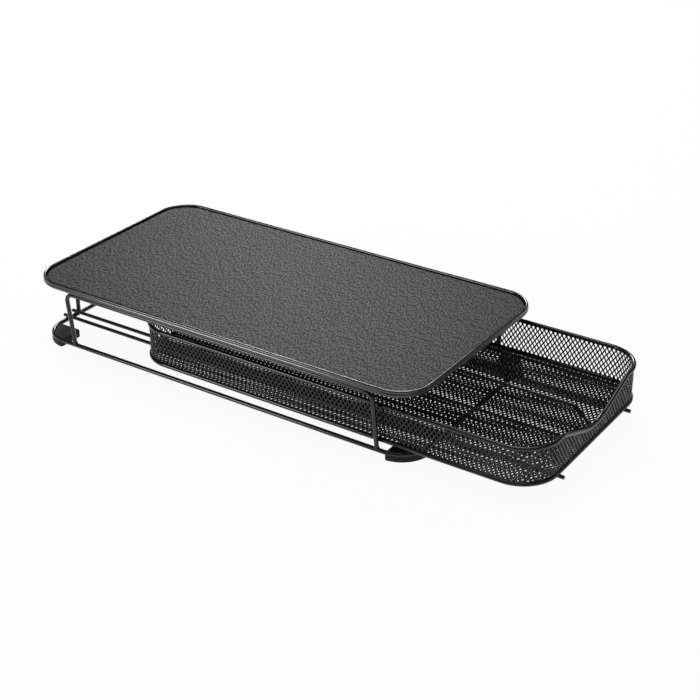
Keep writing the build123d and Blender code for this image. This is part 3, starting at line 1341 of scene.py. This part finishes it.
# ---------------------------------------------------------------- Drawer
@dataclass
class Drawer:
    """The mesh drawer: rims, runners, walls, floor and dividers.

    Attributes:
        wire: Diameter of the rims.
        runner_wire: Diameter of the runners.
        corner: Bend radius of the rims' corners, along the wire's middle.
        dip_margin: Level length of the rim between its corner and the dip.
        dip_depth: How far the rim dips in the middle of the front.
        shoulder_bend: Bend radius where the dip starts.
        bottom_bend: Bend radius at the lowest point of the dip.
        net: The diamond net that the walls and dividers are cut from.
        floor_open: Share of a floor diamond's width and height that is open.
        slope: How far the middle divider's front corner is cut back.
        hem_width: Thickness of a divider's folded top edge.
        hem_depth: Depth of that fold.
        front: X of the rims' middle at the front.
        back: X of the rims' middle at the back.
        side: Y of the rims' middle on the far side.
        top_height: Height of the top rim's middle.
        bottom_height: Height of the bottom rim's middle.
        outline: The line that the rims' middles follow, seen from above.
    """

    wire: float = 3.5 * MM
    runner_wire: float = 3.0 * MM
    corner: float = 29 * MM
    dip_margin: float = 6 * MM
    dip_depth: float = 20 * MM
    shoulder_bend: float = 12 * MM
    bottom_bend: float = 55 * MM
    net: DiamondNet = field(default_factory=DiamondNet)
    floor_open: tuple[float, float] = (0.44, 0.54)
    slope: float = 13.8 * MM
    hem_width: float = 1.8 * MM
    hem_depth: float = 2.4 * MM
    front: float = field(init=False)
    back: float = field(init=False)
    side: float = field(init=False)
    top_height: float = field(init=False)
    bottom_height: float = field(init=False)
    outline: RoundedOutline = field(init=False)

    def __post_init__(self) -> None:
        """Read where the rims' middles run from their boxes."""
        radius = self.wire / 2
        top = Block.of("drawer_top_rim")
        self.front = top.end_x(End.FRONT, radius)
        self.back = top.end_x(End.REAR, radius)
        self.side = top.side_y(Side.FAR, radius)
        self.top_height = top.high.z - radius
        self.bottom_height = Block.of("drawer_bottom_rim").centre.z
        middle = Vector(((self.front + self.back) / 2, 0.0, self.bottom_height))
        self.outline = RoundedOutline(middle, self.front - self.back, 2 * self.side, self.corner)

    def dip(self) -> tuple[list[Vector], list[float]]:
        """Lay out the dip of the front rim.

        Returns:
            Its three corners from the near side on, and their bend radii.
        """
        half = self.side - self.corner - self.dip_margin
        places = ((-half, 0.0), (0.0, self.dip_depth), (half, 0.0))
        corners = [Vector((self.front, y, self.top_height - drop)) for y, drop in places]
        return corners, [self.shoulder_bend, self.bottom_bend, self.shoulder_bend]

    def rims(self) -> None:
        """Bend the two rims; the top one dips in the middle of the front."""
        dip_corners, dip_bends = self.dip()
        front_near, *others = self.outline.corners(0.0, self.top_height)
        bends = [self.corner, *dip_bends, self.corner, self.corner, self.corner]
        route = Route([front_near, *dip_corners, *others], bends, closed=True)
        Wire(route, self.wire, UP).shape().hang("top_rim_wire", WIRE_FINISH, Body.DRAWER, "drawer_top_rim")
        bottom = self.outline.wire(self.wire, self.bottom_height)
        bottom.hang("bottom_rim_wire", WIRE_FINISH, Body.DRAWER, "drawer_bottom_rim")

    def walls(self) -> None:
        """Wrap one strip of net around the drawer, between the middles of its rims."""
        dip_corners, dip_bends = self.dip()
        front_near, front_far, *_ = self.outline.corners(0.0, self.top_height)
        line = Route([front_near, *dip_corners, front_far], dip_bends).stops()
        line_y = [stop.place.y for stop in line]
        line_z = [stop.place.z for stop in line]

        def limit(u: float, v: float, inset: float) -> Flat:
            """Keep a point between the rims.

            Args:
                u: Its way round the outline.
                v: Its height above the bottom rim.
                inset: How far it stays from the rims' middles.

            Returns:
                The new u and v.
            """
            place, _ = self.outline.walk(u)
            on_front = place.x > self.front - self.wire / 2
            rim = float(np.interp(place.y, line_y, line_z)) if on_front else self.top_height
            return u, min(max(v, inset), rim - self.bottom_height - inset)

        def placed(u: float, v: float, half: float) -> Vector:
            """Put a point on the wall, raised outwards by half."""
            place, outward = self.outline.walk(u)
            return place + UP * v + outward * half

        height = self.top_height - self.bottom_height
        shape = self.net.weave(self.outline.around, height, limit, placed, wraps=True)
        nodes = [f"drawer_{wall}_wall" for wall in ("near", "far", "front", "back")]
        shape.hang("wall_net", NET_FINISH, Body.DRAWER, *nodes)

    def floor(self) -> None:
        """Lay the floor net on the runners."""
        box = Block.of("drawer_floor")
        open_u, open_v = self.floor_open
        net = DiamondNet(open_u=open_u, open_v=open_v, ridge=box.size.z / 2)
        length, width = self.outline.length, self.outline.width

        def limit(u: float, v: float, inset: float) -> Flat:
            """Keep a point inside the rims' outline, drawn in by inset."""
            x, y = self.outline.inside(u - length / 2, v - width / 2, inset)
            return x + length / 2, y + width / 2

        def placed(u: float, v: float, half: float) -> Vector:
            """Put a point on the floor, raised by half."""
            return Vector((self.back + u, v - width / 2, box.centre.z + half))

        shape = net.weave(length, width, limit, placed)
        shape.hang("floor_net", NET_FINISH, Body.DRAWER, "drawer_floor")

    def divider(self, node: str, slope: float) -> None:
        """Stand one divider on the floor: a strip of net with a folded top edge.

        Args:
            node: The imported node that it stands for.
            slope: How far its front top corner is cut back, at 45 degrees.
        """
        box = Block.of(node)
        length, height = box.size.x, box.size.z - self.hem_depth / 2
        cut = max(slope - self.hem_depth / 2, 0.0)

        def limit(u: float, v: float, inset: float) -> Flat:
            """Keep a point inside the strip.

            Args:
                u: Its way along the strip.
                v: Its height.
                inset: How far it stays from the edges.

            Returns:
                The new u and v.
            """
            u = min(max(u, inset), length - inset)
            over = max(u - (length - cut), 0.0)
            return u, min(max(v, inset), height - over - inset)

        def placed(u: float, v: float, half: float) -> Vector:
            """Put a point on the divider, raised towards the far side by half."""
            return Vector((box.low.x + u, box.centre.y + half, box.low.z + v))

        shape = self.net.weave(length, height, limit, placed)
        top = box.high.z - self.hem_depth / 2
        ends = [Vector((box.low.x, box.centre.y, top)), Vector((box.high.x - slope, box.centre.y, top))]
        if slope:
            ends.append(Vector((box.high.x, box.centre.y, top - slope)))
        bends = [2 * self.hem_depth] * (len(ends) - 2)
        shape.add(Hem(Route(ends, bends), self.hem_width, self.hem_depth).shape())
        shape.hang(f"{node}_net", NET_FINISH, Body.DRAWER, node)

    def build(self) -> None:
        """Make every piece of the drawer."""
        self.rims()
        self.walls()
        self.floor()
        for node in RUNNERS:
            straight_wire(node, self.runner_wire, Body.DRAWER)
        self.divider("divider_near", 0.0)
        self.divider("divider_middle", self.slope)
        self.divider("divider_far", 0.0)


@dataclass
class Hem:
    """A folded edge: a flat rounded strip that follows a route.

    Attributes:
        route: Where its middle runs.
        width: Its thickness.
        depth: Its height.
        sides: Points around it.
        squareness: Power of the rounded box that its section is; 2 is an ellipse.
    """

    route: Route
    width: float
    depth: float
    sides: int = 16
    squareness: float = 3.0

    def squared(self, part: float) -> float:
        """Raise a cosine or sine to the rounded box's power, with its sign kept."""
        return math.copysign(abs(part) ** (2 / self.squareness), part)

    def shape(self) -> Shape:
        """Sweep the folded edge.

        Returns:
            Its skin.
        """
        rings = []
        for stop in self.route.stops():
            across = SIDEWAYS * self.width / 2
            upward = SIDEWAYS.cross(stop.along) * self.depth / 2
            ring = []
            for k in range(self.sides):
                angle = 2 * math.pi * k / self.sides
                offset = across * self.squared(math.cos(angle)) + upward * self.squared(math.sin(angle))
                ring.append(stop.place + offset)
            rings.append(ring)
        return Shape.skin(rings)


# ---------------------------------------------------------------- Studio
@dataclass(frozen=True)
class Lamp:
    """A soft rectangular lamp.

    Attributes:
        name: Its name.
        place: Where it hangs.
        size: Its two sides.
        power: Watts.
    """

    name: str
    place: tuple[float, float, float]
    size: Flat
    power: float

    def build(self, target: Vector) -> None:
        """Hang the lamp.

        Args:
            target: What it points at.
        """
        light = bpy.data.lights.new(self.name, "AREA")
        light.shape = "RECTANGLE"
        light.size, light.size_y = self.size
        light.energy = self.power
        lamp = bpy.data.objects.new(self.name, light)
        lamp.location = self.place
        lamp.rotation_euler = (target - Vector(self.place)).to_track_quat("-Z", "Y").to_euler()
        bpy.context.scene.collection.objects.link(lamp)


@dataclass
class Studio:
    """A white floor, soft lamps and the camera.

    Attributes:
        camera_place: The camera's place.
        azimuth: The camera's angle round the object, 0 looking along +Y.
        elevation: The camera's angle above the horizon.
        lens: Focal length in millimetres.
        sensor: Width of the sensor in millimetres.
        shift: Sideways shift of the picture.
        clip: Nearest and farthest distance that the camera sees.
        floor_size: Side of the floor.
        floor_drop: Gap that keeps the floor clear of the feet's undersides.
        floor_paint: Brightness of the floor's paint where light falls on it.
        floor_show: How much of the floor's picture is that paint, and so its shadows; the rest is white.
        world_light: Brightness of the room.
        target: The place that the lamps point at.
        lamps: The lamps.
    """

    camera_place: tuple[float, float, float] = (0.6153, -0.8969, 0.5968)
    azimuth: float = math.radians(33.65)
    elevation: float = math.radians(28.04)
    lens: float = 78.8
    sensor: float = 36.0
    shift: float = -0.0022
    clip: Flat = (0.05, 50.0)
    floor_size: float = 24.0
    floor_drop: float = 0.1 * MM
    floor_paint: float = 0.9
    floor_show: float = 0.06
    world_light: float = 0.2
    target: tuple[float, float, float] = (0.0, 0.0, 0.03)
    lamps: tuple[Lamp, ...] = (
        Lamp("overhead", place=(0.0, 0.1, 1.5), size=(1.0, 1.0), power=11.5),
        Lamp("back_box", place=(-0.93, 1.25, 1.0), size=(0.5, 0.4), power=12.5),
        Lamp("front_box", place=(-0.85, -1.25, 0.4), size=(0.45, 0.45), power=6.4),
    )

    def camera(self) -> None:
        """Set up the camera at the photograph's angle."""
        data = bpy.data.cameras.new("camera")
        data.lens = self.lens
        data.sensor_width = self.sensor
        data.shift_x = self.shift
        data.clip_start, data.clip_end = self.clip
        camera = bpy.data.objects.new("camera", data)
        camera.location = self.camera_place
        camera.rotation_euler = (QUARTER - self.elevation, 0.0, self.azimuth)
        bpy.context.scene.collection.objects.link(camera)
        bpy.context.scene.camera = camera

    def floor_material(self) -> bpy.types.Material:
        """Mix white with a little lit paint, which keeps a faint shadow, and leave it clear from below.

        Returns:
            The floor's material.
        """
        material = bpy.data.materials.new("white_floor")
        material.use_nodes = True
        graph = Graph(material.node_tree)
        path = graph.node("ShaderNodeLightPath")
        kinds = ("Camera", "Glossy", "Transmission")
        rays = [Signal(graph, path.outputs[f"Is {kind} Ray"]) for kind in kinds]
        seen = graph.math("MINIMUM", rays[0] + rays[1] + rays[2], 1.0)
        share = seen * (1 - self.floor_show)
        paint = graph.node("ShaderNodeBsdfDiffuse", None, {"Color": (*[self.floor_paint] * 3, 1.0)})
        glow = graph.node("ShaderNodeEmission", None, {"Color": WHITE, "Strength": 1.0})
        mixed = graph.node("ShaderNodeMixShader", None, {0: share, 1: paint.outputs[0], 2: glow.outputs[0]})
        below = graph.node("ShaderNodeNewGeometry").outputs["Backfacing"]
        clear = graph.node("ShaderNodeBsdfTransparent")
        sided = graph.node("ShaderNodeMixShader", None, {0: below, 1: mixed.outputs[0], 2: clear.outputs[0]})
        graph.node("ShaderNodeOutputMaterial", None, {"Surface": sided.outputs[0]})
        return material

    def floor(self) -> None:
        """Lay the floor."""
        half = self.floor_size / 2
        ways = ((-half, -half), (half, -half), (half, half), (-half, half))
        mesh = bpy.data.meshes.new("floor")
        mesh.from_pydata([(x, y, -self.floor_drop) for x, y in ways], [], [(0, 1, 2, 3)])
        mesh.materials.append(self.floor_material())
        floor = bpy.data.objects.new("floor", mesh)
        bpy.context.scene.collection.objects.link(floor)
        floor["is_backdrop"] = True

    def world(self) -> None:
        """Light the room evenly."""
        world = bpy.data.worlds.new("room")
        bpy.context.scene.world = world
        world.use_nodes = True
        graph = Graph(world.node_tree)
        room = graph.node("ShaderNodeBackground", None, {"Color": WHITE, "Strength": self.world_light})
        graph.node("ShaderNodeOutputWorld", None, {"Surface": room.outputs[0]})

    def build(self) -> None:
        """Set up the whole studio."""
        bpy.context.scene.view_settings.view_transform = "Standard"
        self.camera()
        self.floor()
        self.world()
        for lamp in self.lamps:
            lamp.build(Vector(self.target))


def write_sizes() -> None:
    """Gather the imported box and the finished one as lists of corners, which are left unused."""
    boxes = [[list(corner) for corner in box] for box in (packed_box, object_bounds())]


def main() -> None:
    """Build the studio and every piece of the drawer."""
    logging.basicConfig(level=logging.INFO, format="%(message)s")
    Studio().build()
    for assembly in (Plate(), WireFrame(), Feet(), Drawer(), Welds()):
        assembly.build()
        log.info("built %s", type(assembly).__name__)
    write_sizes()


if __name__ == "__main__":
    main()
